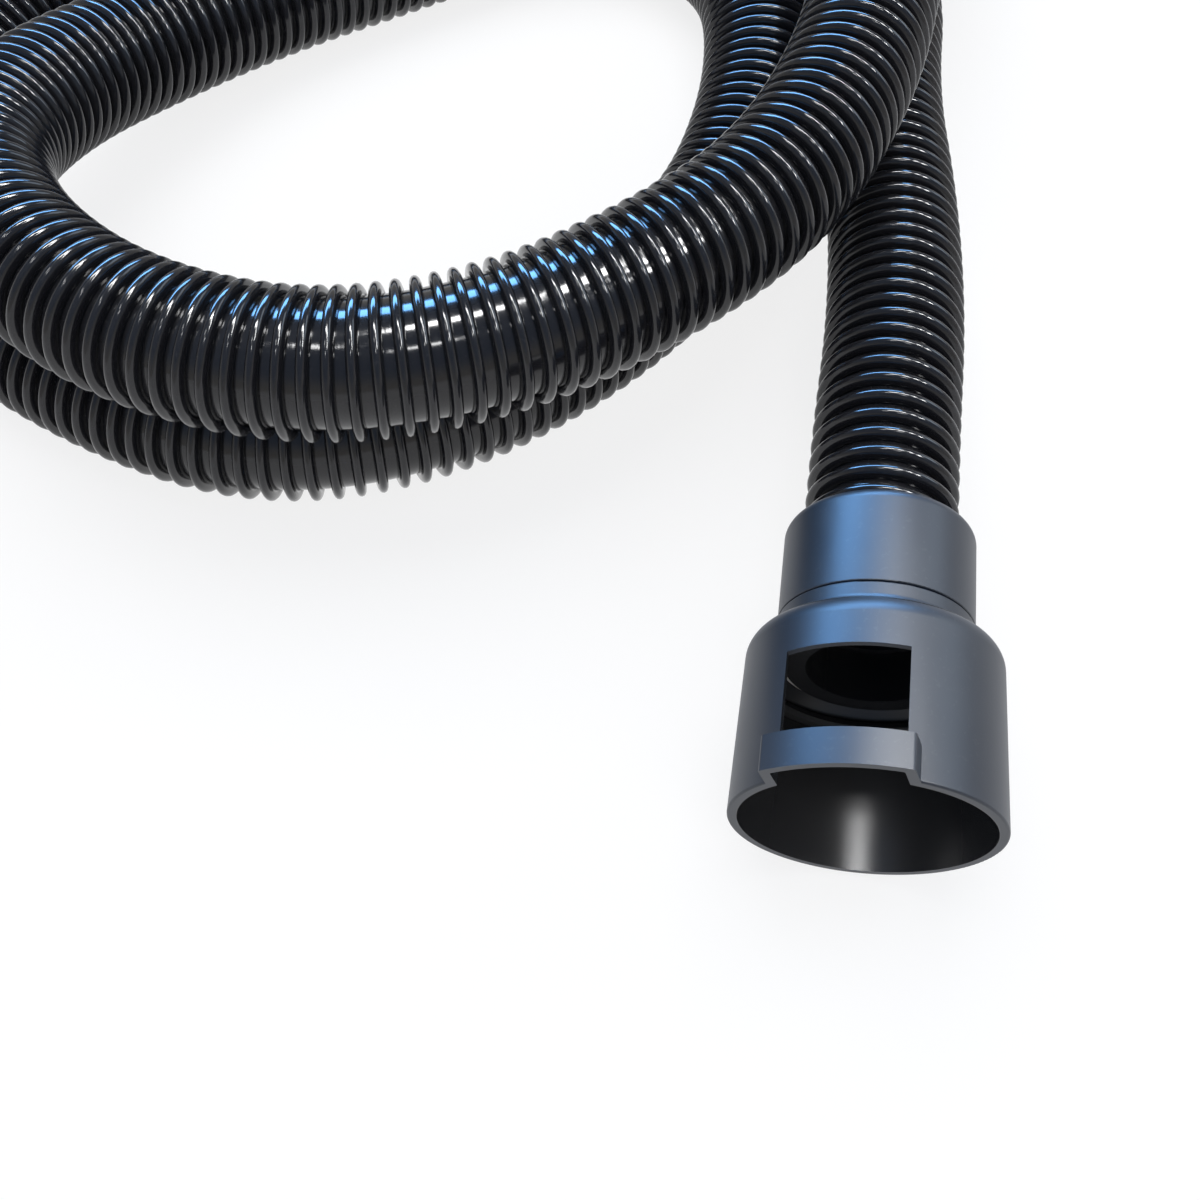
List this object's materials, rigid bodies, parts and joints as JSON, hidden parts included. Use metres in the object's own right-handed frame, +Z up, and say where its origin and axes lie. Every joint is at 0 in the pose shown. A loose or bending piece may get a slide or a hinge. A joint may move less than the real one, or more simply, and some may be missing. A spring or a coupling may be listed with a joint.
{
  "type": "vacuum hose",
  "caption": "Ribbed black vacuum hose lying in loose overlapping turns, with a swivelling machine-end cuff that has a latch window, and a tapered tool-end cuff",
  "frame": {"origin": "centre of the machine-end mouth, in the plane of its rim; the floor that the hose lies on is 38 mm below it", "axes": "-Y out of the machine-end mouth, +Y along the cuff towards the hose, +Z up from the floor, +X to the right when looking along +Y"},
  "size_m": [0.4294, 0.5437, 0.0961],
  "materials": {
    "cuff_plastic": "dark slate moulded plastic, satin, with a fine moulding grain",
    "hose_plastic": "glossy black wound plastic with rounded helical ribs",
    "seal_rubber": "black rubber, matt",
    "ring_plastic": "natural acetal, smooth and slightly translucent",
    "ferrule_plastic": "black moulded plastic, satin"
  },
  "bodies": {
    "hose": {"hose_lead": "hose_plastic", "hose_outer_turn": "hose_plastic", "hose_inner_turn": "hose_plastic", "hose_upper_turn": "hose_plastic", "hose_tail": "hose_plastic", "machine_sleeve": "cuff_plastic", "machine_retaining_ring": "ring_plastic", "machine_glide_washer": "ring_plastic", "machine_swivel_seal": "seal_rubber", "machine_ferrule": "ferrule_plastic", "tool_sleeve": "cuff_plastic", "tool_retaining_ring": "ring_plastic", "tool_glide_washer": "ring_plastic", "tool_swivel_seal": "seal_rubber", "tool_ferrule": "ferrule_plastic"},
    "machine_cuff": {"mouth_shell": "cuff_plastic", "mouth_seal": "seal_rubber"},
    "tool_end": {"tool_cuff": "cuff_plastic"}
  },
  "joints": [
    {"name": "machine_cuff_swivel", "type": "hinge", "parent": "hose", "child": "machine_cuff", "pos_m": [0, 0.057, 0], "axis": [0, 1, 0], "continuous": true},
    {"name": "tool_cuff_swivel", "type": "hinge", "parent": "hose", "child": "tool_end", "pos_m": [-0.096, 0.515, -0.009], "axis": [-1, 0, 0], "continuous": true}
  ]
}
